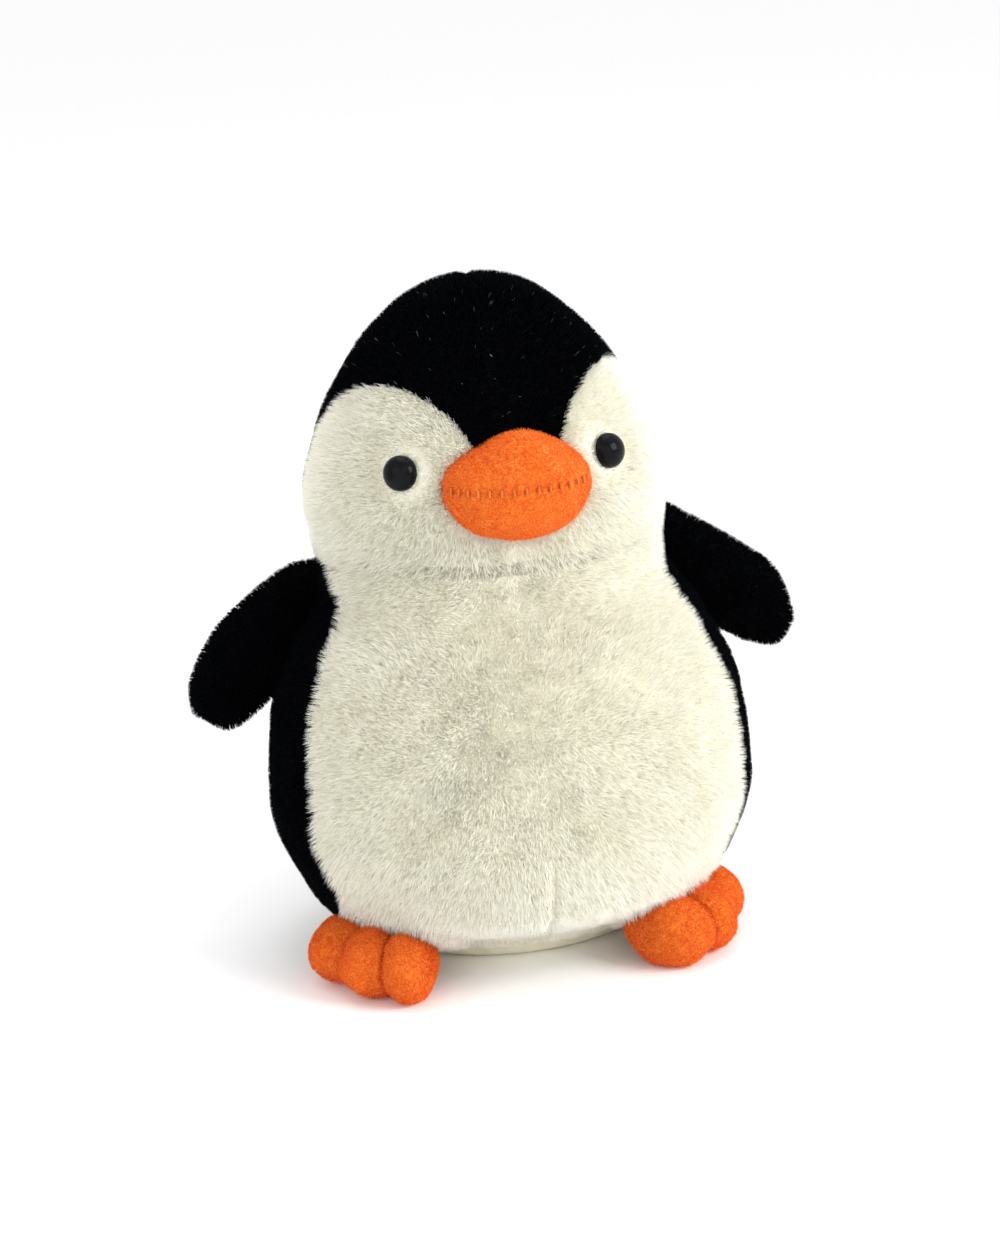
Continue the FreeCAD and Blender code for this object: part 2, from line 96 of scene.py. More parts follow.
def through(x, knots, values):
    """A monotone cubic through the knots."""
    h = np.diff(knots)
    d = np.diff(values) / h
    m = np.empty(len(knots))
    m[0], m[-1] = d[0], d[-1]
    for i in range(1, len(knots) - 1):
        if d[i - 1] * d[i] <= 0:
            m[i] = 0
        else:
            a, b = 2 * h[i] + h[i - 1], h[i] + 2 * h[i - 1]
            m[i] = (a + b) / (a / d[i - 1] + b / d[i])
    k = np.clip(np.searchsorted(knots, x) - 1, 0, len(knots) - 2)
    t = (x - knots[k]) / h[k]
    return (
        values[k] * (1 + 2 * t) * (1 - t) ** 2 + m[k] * h[k] * t * (1 - t) ** 2
        + values[k + 1] * t * t * (3 - 2 * t) + m[k + 1] * h[k] * t * t * (t - 1)
    )


def wave(p, size, seed):
    """Smooth vector noise whose features are about size across."""
    rng = np.random.default_rng(seed)
    total = np.zeros((len(p), 3))
    for _ in range(5):
        turn = rng.normal(size=(3, 3)) * 2.2 / size
        total += np.sin(p @ turn + rng.uniform(0, 2 * np.pi, 3))
    return total / 2.2


def body_grid():
    z = np.linspace(0, 250.3, 6000)
    r = through(z, BODY_LEVELS[:, 0], BODY_LEVELS[:, 1])
    arc = np.concatenate([[0], np.cumsum(np.hypot(np.diff(z), np.diff(r)))])
    rows = np.interp(np.linspace(0, arc[-1], int(arc[-1] / ROW_STEP)), arc, z)
    half, front, back = (through(rows, BODY_LEVELS[:, 0], BODY_LEVELS[:, k]) for k in (1, 2, 3))
    pinch = 1 - NECK_DEPTH / 66 * np.exp(-(((rows - NECK_HEIGHT) / NECK_SPREAD) ** 2))
    theta = np.linspace(0, 2 * np.pi, COLUMNS, endpoint=False)
    mid, deep = (back - front) / 2, (front + back) / 2
    points = np.stack(
        np.broadcast_arrays(
            (half * pinch)[:, None] * np.sin(theta),
            mid[:, None] - (deep * pinch)[:, None] * np.cos(theta),
            rows[:, None],
        ),
        -1,
    )
    across = np.roll(points, -1, 1) - np.roll(points, 1, 1)
    upward = np.gradient(points, axis=0)
    return points, unit(np.cross(across, upward))


def in_face(p, margin=0.0):
    """Inside either of the two round patches of the face, or the chin between them."""
    inside = np.zeros(len(p), bool)
    for bearing in FACE_BEARINGS:
        a = math.radians(bearing)
        out = np.array((math.sin(a), -math.cos(a), 0))
        rel = p - np.array((0, 0, FACE_HEIGHT))
        along = rel @ out
        off = np.linalg.norm(rel - along[:, None] * out, axis=1)
        inside |= (off < FACE_RADIUS + margin) & (along > 0)
    chin = (p[:, 1] < 0) & (np.abs(p[:, 0]) < 30) & (p[:, 2] < CHIN_HEIGHT + margin)
    return (inside | chin) & (p[:, 2] > NECK_HEIGHT - 1)


def in_belly(p, margin=0.0):
    side = np.hypot(p[:, 1] - FLANK_Y, p[:, 2] - FLANK_Z)
    tuck = 12.0 * (1 - ramp(14, 40, p[:, 2]))
    return (side > FLANK_RADIUS - tuck - margin) & (p[:, 1] < 20) & (p[:, 2] <= NECK_HEIGHT + margin)


def eye_distance(p):
    mirrored = np.column_stack([np.abs(p[:, 0]), p[:, 1:]])
    return np.linalg.norm(mirrored - EYE_SEAT, axis=1)


def beak_level(p, grow=0.0):
    return np.linalg.norm((p - BEAK_CENTRE) / (BEAK_HALF + grow), axis=1)


def foot_level(p, grow=0.0):
    """Under 1 inside either foot."""
    least = np.full(len(p), 9.0)
    for across, forward, bearing, long, wide, tall in TOES:
        for side in (1, -1):
            a = math.radians(bearing) * side
            out = np.array((math.sin(a), -math.cos(a), 0))
            aside = np.array((math.cos(a), math.sin(a), 0))
            rel = p - np.array((side * across, -forward, TOE_HEIGHT))
            parts = ((rel @ out) / (long + grow), (rel @ aside) / (wide + grow), rel[:, 2] / (tall + grow))
            least = np.minimum(least, np.sqrt(sum(q * q for q in parts)))
    return least


def depth_of_pile(p, pile):
    """How far the backing lies under the tips: less at the eyes and the hem."""
    near_eye = 1 - ramp(7.5, 15, eye_distance(p))
    at_hem = 1 - ramp(HEM_HEIGHT, HEM_HEIGHT + 6, p[:, 2])
    return pile - (pile - 2.4) * near_eye - (pile - 2.5) * at_hem


# ---------------------------------------------------------------- materials
def node(tree, kind, **values):
    n = tree.nodes.new(kind)
    for key, value in values.items():
        if key in n.inputs:
            n.inputs[key].default_value = value
        else:
            setattr(n, key, value)
    return n


def base_material(name, roughness, specular, sheen, sheen_tint, sheen_roughness=0.5):
    m = bpy.data.materials.new(name)
    m.use_nodes = True
    tree = m.node_tree
    shader = tree.nodes["Principled BSDF"]
    shader.inputs["Roughness"].default_value = roughness
    shader.inputs["Specular IOR Level"].default_value = specular
    shader.inputs["Sheen Weight"].default_value = sheen
    shader.inputs["Sheen Tint"].default_value = (*sheen_tint, 1)
    shader.inputs["Sheen Roughness"].default_value = sheen_roughness
    return m, tree, shader


def mixed(tree, factor, a, b):
    mix = tree.nodes.new("ShaderNodeMix")
    mix.data_type = "RGBA"
    for slot, value in ((6, a), (7, b)):
        if isinstance(value, tuple):
            mix.inputs[slot].default_value = (*value, 1)
        else:
            tree.links.new(value, mix.inputs[slot])
    tree.links.new(factor, mix.inputs[0])
    return mix.outputs[2]


def noise(tree, scale, detail=3.0, spread=(0.35, 0.65)):
    """Noise in the piece's own coordinates, stretched so spread becomes 0 to 1."""
    place = tree.nodes.new("ShaderNodeTexCoord")
    field = node(tree, "ShaderNodeTexNoise", Scale=scale, Detail=detail)
    tree.links.new(place.outputs["Object"], field.inputs["Vector"])
    stretch = tree.nodes.new("ShaderNodeMapRange")
    stretch.inputs["From Min"].default_value = spread[0]
    stretch.inputs["From Max"].default_value = spread[1]
    tree.links.new(field.outputs["Fac"], stretch.inputs["Value"])
    return stretch.outputs["Result"]


def fibre_material(name, root, tip, other, roughness, specular, sheen, tint):
    """Pile fibre: darker at the root as painted shade deep in the pile, its tips drifting between two shades."""
    m, tree, shader = base_material(name, roughness, specular, sheen, tint)
    along = node(tree, "ShaderNodeAttribute", attribute_name="along")
    tips = mixed(tree, noise(tree, 90), tip, other)
    # Painted shade: the ramp darkens each fibre from tip to root, standing in for the shade down in the pile.
    colour = mixed(tree, along.outputs["Fac"], root, tips)
    tree.links.new(colour, shader.inputs["Base Color"])
    return m


def backing_material(name, low, high, roughness, specular, sheen, tint, grain=700, bump=0.5):
    m, tree, shader = base_material(name, roughness, specular, sheen, tint)
    tree.links.new(mixed(tree, noise(tree, 160), low, high), shader.inputs["Base Color"])
    relief = node(tree, "ShaderNodeBump", Strength=bump, Distance=0.0006)
    tree.links.new(noise(tree, grain, 2.0), relief.inputs["Height"])
    tree.links.new(relief.outputs["Normal"], shader.inputs["Normal"])
    return m


# Fibre colours are root, tip and second tip shade; the darker root is painted shade deep in the pile.
CREAM_FIBRE = fibre_material(
    "cream_fibre", (0.90, 0.885, 0.79), (0.945, 0.94, 0.89), (0.925, 0.915, 0.85), 0.8, 0.1, 0.15, (1, 0.99, 0.94)
)
BLACK_FIBRE = fibre_material(
    "black_fibre", (0.0006, 0.0008, 0.0012), (0.0018, 0.0024, 0.0034), (0.001, 0.0014, 0.0022), 0.65, 0.04, 0.008,
    (0.55, 0.62, 1.0)
)
# Painted sheen: a few crown fibres get pale bluish tips, specks of sheen painted into their colour.
SHEEN_FLECK = fibre_material(
    "painted_sheen_fleck", (0.02, 0.02, 0.03), (0.30, 0.33, 0.42), (0.10, 0.12, 0.18), 0.45, 0.4, 0.1, (0.8, 0.9, 1.0)
)
FLECK_SHARE = 0.0025
CREAM_BACKING = backing_material(
    "cream_backing", (0.88, 0.865, 0.77), (0.91, 0.895, 0.81), 0.9, 0.1, 0.1, (1, 0.98, 0.9)
)
BLACK_BACKING = backing_material(
    "black_backing", (0.0006, 0.0008, 0.0012), (0.0012, 0.0016, 0.0024), 0.9, 0.04, 0.006, (0.6, 0.7, 1)
)


def orange_material(name, low, high, sheen):
    m, tree, shader = base_material(name, 0.8, 0.15, sheen, (1.0, 0.72, 0.45), 0.4)
    patches = mixed(tree, noise(tree, 120), low, high)
    pebbles = noise(tree, 1500, 2.0)
    deeper = tuple(0.72 * c for c in low)
    tree.links.new(mixed(tree, pebbles, deeper, patches), shader.inputs["Base Color"])
    relief = node(tree, "ShaderNodeBump", Strength=0.55, Distance=0.0005)
    tree.links.new(noise(tree, 1100, 3.0), relief.inputs["Height"])
    tree.links.new(relief.outputs["Normal"], shader.inputs["Normal"])
    return m


ORANGE_VELBOA = orange_material("orange_velboa_cloth", (0.82, 0.175, 0.016), (0.92, 0.245, 0.038), 0.15)
ORANGE_FIBRE = fibre_material(
    "orange_fibre", (0.78, 0.14, 0.012), (0.93, 0.26, 0.045), (0.86, 0.20, 0.028), 0.75, 0.12, 0.12, (1, 0.8, 0.6)
)
THREAD = backing_material(
    "orange_twist", (0.80, 0.155, 0.014), (0.88, 0.21, 0.03), 0.6, 0.3, 0.1, (1, 0.8, 0.6), 2600, 0.8
)
CLOTH = backing_material(
    "cream_base_cloth", (0.80, 0.77, 0.61), (0.85, 0.83, 0.68), 0.55, 0.3, 0.1, (1, 1, 0.95), 2200, 0.35
)


def eye_material():
    m, tree, shader = base_material("eye_black", 0.12, 0.06, 0.0, (1, 1, 1))
    tint = mixed(tree, noise(tree, 300), (0.004, 0.004, 0.005), (0.008, 0.008, 0.009))
    tree.links.new(tint, shader.inputs["Base Color"])
    rough = tree.nodes.new("ShaderNodeMapRange")
    rough.inputs["To Min"].default_value = 0.06
    rough.inputs["To Max"].default_value = 0.14
    tree.links.new(noise(tree, 900), rough.inputs["Value"])
    tree.links.new(rough.outputs["Result"], shader.inputs["Roughness"])
    return m


EYE = eye_material()
WASHER = backing_material("washer_white", (0.75, 0.75, 0.72), (0.82, 0.82, 0.8), 0.4, 0.4, 0.0, (1, 1, 1), 500, 0.1)


# ---------------------------------------------------------------- meshes
def new_object(name, points, corners, starts, material, smooth):
    """points in millimetres; corners are the loops' vertices and starts each face's first loop."""
    mesh = bpy.data.meshes.new(name)
    mesh.vertices.add(len(points))
    mesh.vertices.foreach_set("co", (points * MM).astype(np.float32).ravel())
    mesh.loops.add(len(corners))
    mesh.loops.foreach_set("vertex_index", np.asarray(corners, np.int32))
    mesh.polygons.add(len(starts))
    mesh.polygons.foreach_set("loop_start", np.asarray(starts, np.int32))
    mesh.polygons.foreach_set("use_smooth", np.full(len(starts), smooth))
    mesh.update(calc_edges=True)
    mesh.validate()
    mesh.materials.append(material)
    obj = bpy.data.objects.new(name, mesh)
    bpy.context.scene.collection.objects.link(obj)
    return obj


def fibres(
    name, root, normal, comb, length, half_width, material, seed,
    clump=3.2, gather=0.14, wild=0.17, flecks=None,
):
    """One tapered, bent blade per root. Tips gather into tufts round scattered centres."""
    count = len(root)
    rng = np.random.default_rng(seed)
    centres = root[rng.choice(count, max(2, int(count * 0.3 / clump**2)), replace=False)]
    tree = KDTree(len(centres))
    for i, c in enumerate(centres):
        tree.insert(c, i)
    tree.balance()
    nearest = np.array([tree.find(p)[1] for p in root])
    jitter = rng.normal(size=(count, 3)) * wild
    lean = comb + jitter
    first = unit(normal + 0.45 * lean)
    last = unit(normal + 1.15 * lean)
    middle = root + first * (length * 0.5)[:, None]
    tip = middle + last * (length * 0.5)[:, None]
    pull = centres[nearest] - root
    pull -= np.sum(pull * normal, 1)[:, None] * normal
    tip += pull * (gather * rng.uniform(0.5, 1.0, count))[:, None]
    middle += pull * (gather * 0.3)
    aside = unit(np.cross(first, rng.normal(size=(count, 3))))
    wide = (half_width * rng.uniform(0.7, 1.25, count))[:, None]
    points = np.stack([root - aside * wide, root + aside * wide,
                       middle - aside * wide * 0.8, middle + aside * wide * 0.8, tip], 1).reshape(-1, 3)
    first_vertex = np.arange(count)[:, None] * 5
    corners = (first_vertex + np.array((0, 1, 3, 2, 2, 3, 4))).ravel()
    starts = (np.arange(count)[:, None] * 7 + np.array((0, 4))).ravel()
    obj = new_object(name, points, corners, starts, material, False)
    mesh = obj.data
    # along runs from 0 at the root to 1 at the tip; the fibre materials darken the root by it as painted shade.
    along = mesh.attributes.new("along", "FLOAT", "POINT")
    along.data.foreach_set("value", np.tile(np.array((0, 0, 0.55, 0.55, 1), np.float32), count))
    side = int(math.ceil(math.sqrt(count)))
    cell = np.stack([np.arange(count) % side, np.arange(count) // side], 1)[:, None, :]
    spot = np.array([(0.2, 0.1), (0.8, 0.1), (0.8, 0.5), (0.2, 0.5), (0.2, 0.5), (0.8, 0.5), (0.5, 0.9)])
    layer = mesh.uv_layers.new(name="OFBake")
    layer.data.foreach_set("uv", ((cell + spot) / side).astype(np.float32).ravel())
    # Painted sheen: this share of fibres takes the second, pale material.
    if flecks is not None:
        mesh.materials.append(flecks)
        pale = (rng.uniform(size=count) < FLECK_SHARE).astype(np.int32)
        mesh.polygons.foreach_set("material_index", np.repeat(pale, 2))
    return obj


def scatter(points, triangles, density, seed):
    """Random places on the triangles, even by area: which triangle each is on, and its three corner weights."""
    rng = np.random.default_rng(seed)
    a, b, c = (points[triangles[:, k]] for k in range(3))
    area = np.linalg.norm(np.cross(b - a, c - a), axis=1) / 2
    count = int(area.sum() * density)
    chosen = np.searchsorted(np.cumsum(area), rng.uniform(0, area.sum(), count))
    chosen = np.minimum(chosen, len(triangles) - 1)
    u, v = rng.uniform(size=count), rng.uniform(size=count)
    flip = u + v > 1
    u[flip], v[flip] = 1 - u[flip], 1 - v[flip]
    weights = np.stack([1 - u - v, u, v], 1)
    return chosen, weights


# ---------------------------------------------------------------- body panels
OUTER, OUTWARD = body_grid()
ROWS = len(OUTER)
FLAT = OUTER.reshape(-1, 3)
FLAT_NORMALS = OUTWARD.reshape(-1, 3)
index = np.arange(ROWS * COLUMNS).reshape(ROWS, COLUMNS)
QUADS = np.stack(
    [index[:-1], np.roll(index, -1, 1)[:-1], np.roll(index, -1, 1)[1:], index[1:]], -1
).reshape(-1, 4)
QUAD_CENTRES = FLAT[QUADS].mean(1)
DOWN = np.array((0.0, 0.0, -1.0))


def panel_mask(p, kind, margin=0.0):
    head = p[:, 2] > NECK_HEIGHT
    above_hem = p[:, 2] > HEM_HEIGHT - 1
    if kind == "face":
        return in_face(p, margin)
    if kind == "crown":
        return head & ~in_face(p, -margin)
    if kind == "belly":
        return in_belly(p, margin) & above_hem
    return ~head & ~in_belly(p, -margin) & above_hem


def skin(name, kind, sign, pile, material, margin):
    chosen = QUADS[panel_mask(QUAD_CENTRES, kind, margin) & (QUAD_CENTRES[:, 0] * sign > 0)]
    used, corners = np.unique(chosen, return_inverse=True)
    outer = FLAT[used]
    points = outer - FLAT_NORMALS[used] * depth_of_pile(outer, pile)[:, None]
    obj = new_object(name, points, corners.ravel(), np.arange(len(chosen)) * 4, material, True)
    layer = obj.data.uv_layers.new(name="OFBake")
    column, row = chosen % COLUMNS, chosen // COLUMNS
    column = np.where(column < column.min(1, keepdims=True) + COLUMNS // 2, column, column - COLUMNS)
    u = (column - column.min()) / (column.max() - column.min())
    v = (row - row.min()) / (row.max() - row.min())
    layer.data.foreach_set("uv", np.stack([u, v], -1).astype(np.float32).ravel())
    return obj


def pile(name, kind, sign, depth, density, half_width, material, seed):
    chosen = QUADS[panel_mask(QUAD_CENTRES, kind) & (QUAD_CENTRES[:, 0] * sign > 0)]
    triangles = np.concatenate([chosen[:, :3], chosen[:, [0, 2, 3]]])
    picked, weights = scatter(FLAT, triangles, density, seed)
    corner = triangles[picked]
    p = np.einsum("nk,nkc->nc", weights, FLAT[corner])
    n = unit(np.einsum("nk,nkc->nc", weights, FLAT_NORMALS[corner]))
    keep = (beak_level(p - n * 3, -1.5) > 1) & (foot_level(p - n * 4, -2.5) > 1) & (eye_distance(p) > 6.2)
    p, n = p[keep], n[keep]
    below = depth_of_pile(p, depth)
    root = p - n * below[:, None]
    length = below * (1.10 + 0.07 * wave(p, 16, seed)[:, 0] + 0.05 * wave(p, 5, seed + 1)[:, 0])
    down = DOWN - (n @ DOWN)[:, None] * n
    comb = 0.10 * down + 0.10 * wave(p, 24, seed + 2) + 0.10 * wave(p, 7, seed + 3)
    near_eye = 1 - ramp(6, 13, eye_distance(p))
    length *= 1 - 0.45 * near_eye
    near_foot = 1 - ramp(1.05, 1.35, foot_level(p))
    length *= 1 + 0.5 * near_foot
    comb += 0.35 * near_foot[:, None] * down
    if kind in ("belly", "face", "crown"):
        zones = 1.0
        if kind == "belly":
            zones = np.maximum(1 - ramp(8, 16, np.abs(p[:, 2] - 143)), 1 - ramp(14, 20, np.abs(p[:, 2] - 40)))
            zones = 0.25 + 0.75 * zones
        parting = np.exp(-((p[:, 0] / 1.5) ** 2)) * zones
        length *= 1 - 0.35 * parting
        comb[:, 0] += sign * 0.3 * np.exp(-((p[:, 0] / 3.0) ** 2)) * zones
    comb -= np.sum(comb * n, 1)[:, None] * n
    # The crown gets the painted sheen specks.
    flecks = SHEEN_FLECK if kind == "crown" else None
    return fibres(name, root, n, comb, length, half_width, material, seed + 4, flecks=flecks)


DENSITY = {"cream": 3.6, "black": 2.7}
WIDTH = {"cream": 0.16, "black": 0.2}
PANELS = [
    # kind, depth, backing, fibre, slot, margin
    ("crown", BLACK_PILE, BLACK_BACKING, BLACK_FIBRE, "black_plush", 0.0),
    ("face", CREAM_PILE, CREAM_BACKING, CREAM_FIBRE, "cream_plush", 4.0),
    ("belly", CREAM_PILE, CREAM_BACKING, CREAM_FIBRE, "cream_plush", 4.0),
    ("back", BLACK_PILE, BLACK_BACKING, BLACK_FIBRE, "black_plush", 0.0),
]
seed = 100
for kind, depth, backing, fibre, slot, margin in PANELS:
    for side, sign in (("left", 1), ("right", -1)):
        seed += 20
        cloth = skin(f"{kind}_{side}_skin", kind, sign, depth, backing, margin)
        nodes = [f"{kind}_{side}_panel"] + (["body_stuffing"] if (kind, side) == ("belly", "left") else [])
        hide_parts(*nodes)
        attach(cloth, "torso")
        shade = slot.split("_")[0]
        fur = pile(f"{kind}_{side}_pile", kind, sign, depth, DENSITY[shade], WIDTH[shade], fibre, seed)
        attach(fur, "torso")

# ---------------------------------------------------------------- base cloth
BASE_RINGS = [(0.0, 0.0), (0.35, 0.0), (0.7, 0.0), (0.93, 0.0), (0.985, 0.35), (1.0, 1.3)]


def base_cloth():
    """The flat underside and the band that turns up from it under the pile."""
    theta = np.linspace(0, 2 * np.pi, COLUMNS, endpoint=False)
    rings = []
    for share, z in BASE_RINGS:
        rings.append((share, z, 1.0, z))
    for z in np.arange(2.0, 11.1, 0.6):
        rings.append((1.0, z, 0.0, z))
    points = []
    for share, z, _, _ in rings:
        half, front, back = (through(np.array([z]), BODY_LEVELS[:, 0], BODY_LEVELS[:, k])[0] for k in (1, 2, 3))
        gather = 0.35 * np.sin(theta * 46) * ramp(1.0, 3.0, np.array([z]))[0]
        inset = 0.8 + gather + 2.6 * ramp(6.5, 11.0, np.array([z]))[0]
        points.append(np.stack([
            (half - inset) * share * np.sin(theta),
            (back - front) / 2 - ((front + back) / 2 - inset) * share * np.cos(theta),
            np.full(COLUMNS, z),
        ], 1))
    points = np.array(points)[1:].reshape(-1, 3)
    count = len(rings) - 1
    grid = np.arange(count * COLUMNS).reshape(count, COLUMNS)
    quads = np.stack([grid[:-1], np.roll(grid, -1, 1)[:-1], np.roll(grid, -1, 1)[1:], grid[1:]], -1).reshape(-1, 4)
    middle = len(points)
    points = np.vstack([points, [(0, points[:COLUMNS, 1].mean(), 0)]])
    fan = np.stack([np.full(COLUMNS, middle), np.roll(grid[0], -1), grid[0]], 1)
    corners = np.concatenate([quads.ravel(), fan.ravel()])
    starts = np.concatenate([np.arange(len(quads)) * 4, len(quads) * 4 + np.arange(COLUMNS) * 3])
    return new_object("base_cloth", points, corners, starts, CLOTH, True)


base = base_cloth()
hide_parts("base_panel")
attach(base, "torso")


# ---------------------------------------------------------------- stuffed forms
def mesh_arrays(mesh):
    """Points in millimetres, normals and triangles of a mesh."""
    points = np.zeros(len(mesh.vertices) * 3, np.float32)
    mesh.vertices.foreach_get("co", points)
    mesh.calc_loop_triangles()
    triangles = np.zeros(len(mesh.loop_triangles) * 3, np.int32)
    mesh.loop_triangles.foreach_get("vertices", triangles)
    normals = np.zeros(len(mesh.vertices) * 3, np.float32)
    mesh.vertices.foreach_get("normal", normals)
    return points.reshape(-1, 3).astype(float) / MM, normals.reshape(-1, 3).astype(float), triangles.reshape(-1, 3)


def baked(obj, name):
    """A new mesh with obj's modifiers applied, in obj's place."""
    graph = bpy.context.evaluated_depsgraph_get()
    mesh = bpy.data.meshes.new_from_object(obj.evaluated_get(graph))
    mesh.name = name
    obj.modifiers.clear()
    obj.data = mesh
    return obj


def gathered(name, nodes):
    """The CAD nodes' meshes as one new object."""
    together = bmesh.new()
    for source in nodes:
        together.from_mesh(bpy.data.objects[source].data)
    mesh = bpy.data.meshes.new(name)
    together.to_mesh(mesh)
    together.free()
    obj = bpy.data.objects.new(name, mesh)
    bpy.context.scene.collection.objects.link(obj)
    return obj


def stuffed(obj, voxel, shrink, cap, pinned, frames=20, smooth=4):
    """A closed form, remeshed, shrunk a little, then blown up as cloth with its seams held."""
    name = obj.name
    remesh = obj.modifiers.new("remesh", "REMESH")
    remesh.mode = "VOXEL"
    remesh.voxel_size = voxel * MM
    baked(obj, name)
    relax = obj.modifiers.new("relax", "SMOOTH")
    relax.factor = 0.5
    relax.iterations = smooth
    baked(obj, name)
    points, normals, _ = mesh_arrays(obj.data)
    held = pinned(points)
    start = points - normals * shrink
    obj.data.vertices.foreach_set("co", (start * MM).astype(np.float32).ravel())
    obj.data.update()
    group = obj.vertex_groups.new(name="held")
    for i, w in enumerate(held):
        if w > 0.01:
            group.add([i], float(w), "REPLACE")
    cloth = obj.modifiers.new("cloth", "CLOTH")
    cloth.settings.use_pressure = True
    cloth.settings.uniform_pressure_force = 4.0
    cloth.settings.effector_weights.gravity = 0.0
    cloth.settings.vertex_group_mass = "held"
    cloth.settings.quality = 6
    cloth.point_cache.frame_start = 1
    cloth.point_cache.frame_end = frames
    for f in range(1, frames + 1):
        bpy.context.scene.frame_set(f)
    baked(obj, name)
    bpy.context.scene.frame_set(1)
    blown, _, _ = mesh_arrays(obj.data)
    move = blown - start
    far = np.linalg.norm(move, axis=1, keepdims=True)
    move *= np.minimum(1, cap / np.maximum(far, 1e-6))
    start = start + np.nan_to_num(move)
    obj.data.vertices.foreach_set("co", (start * MM).astype(np.float32).ravel())
    obj.data.update()
    finer = obj.modifiers.new("finer", "SUBSURF")
    finer.levels = finer.render_levels = 1
    baked(obj, name)
    obj.data.polygons.foreach_set("use_smooth", np.ones(len(obj.data.polygons), bool))
    obj.data.materials.clear()
    return obj


def reshape(obj, move):
    """Move every point of obj by what move(points, normals) gives, in millimetres."""
    points, normals, _ = mesh_arrays(obj.data)
    points = points + move(points, normals)
    obj.data.vertices.foreach_set("co", (points * MM).astype(np.float32).ravel())
    obj.data.update()


def cut_faces(obj, name, keep):
    """A new object with the faces of obj whose centres keep() accepts."""
    count = len(obj.data.polygons)
    centres = np.zeros(count * 3, np.float32)
    obj.data.polygons.foreach_get("center", centres)
    wanted = keep(centres.reshape(-1, 3).astype(float) / MM)
    part = bmesh.new()
    part.from_mesh(obj.data)
    part.faces.ensure_lookup_table()
    bmesh.ops.delete(part, geom=[part.faces[i] for i in np.nonzero(~wanted)[0]], context="FACES")
    mesh = bpy.data.meshes.new(name)
    part.to_mesh(mesh)
    part.free()
    made = bpy.data.objects.new(name, mesh)
    bpy.context.scene.collection.objects.link(made)
    return made


def nap(name, obj, length, density, half_width, material, seed, comb, keep=None, wild=0.35, gather=0.3, clump=2.0):
    """Short pile over a finished form."""
    points, normals, triangles = mesh_arrays(obj.data)
    picked, weights = scatter(points, triangles, density, seed)
    corner = triangles[picked]
    p = np.einsum("nk,nkc->nc", weights, points[corner])
    n = unit(np.einsum("nk,nkc->nc", weights, normals[corner]))
    if keep is not None:
        wanted = keep(p, n)
        p, n = p[wanted], n[wanted]
    lengths = length(p) if callable(length) else np.full(len(p), float(length))
    flow = comb(p, n)
    flow = flow - np.sum(flow * n, 1)[:, None] * n
    return fibres(name, p, n, flow, lengths, half_width, material, seed + 1, clump, gather, wild)


# ---------------------------------------------------------------- feet
CREASES = [
    # centre across, centre in front, bearing
    (56.5, 62, 38),
    (66.5, 48, 57),
]


def crease_distance(p, sign):
    """Distance sideways from the nearer crease between two toes, and how far out along it."""
    best = np.full(len(p), 99.0)
    along = np.zeros(len(p))
    for across, forward, bearing in CREASES:
        a = math.radians(bearing) * sign
        out = np.array((math.sin(a), -math.cos(a)))
        aside = np.array((math.cos(a), math.sin(a)))
        rel = p[:, :2] - np.array((sign * across, -forward))
        off = np.abs(rel @ aside)
        reach = rel @ out
        nearer = off < best
        best = np.where(nearer, off, best)
        along = np.where(nearer, reach, along)
    return best, along


# The two feet aren't sewn alike: from this height across, each is drawn in by a share of what lies beyond.
FOOT_DRAWN_IN = {"left": (60.0, 0.2), "right": (-62.0, 0.3)}

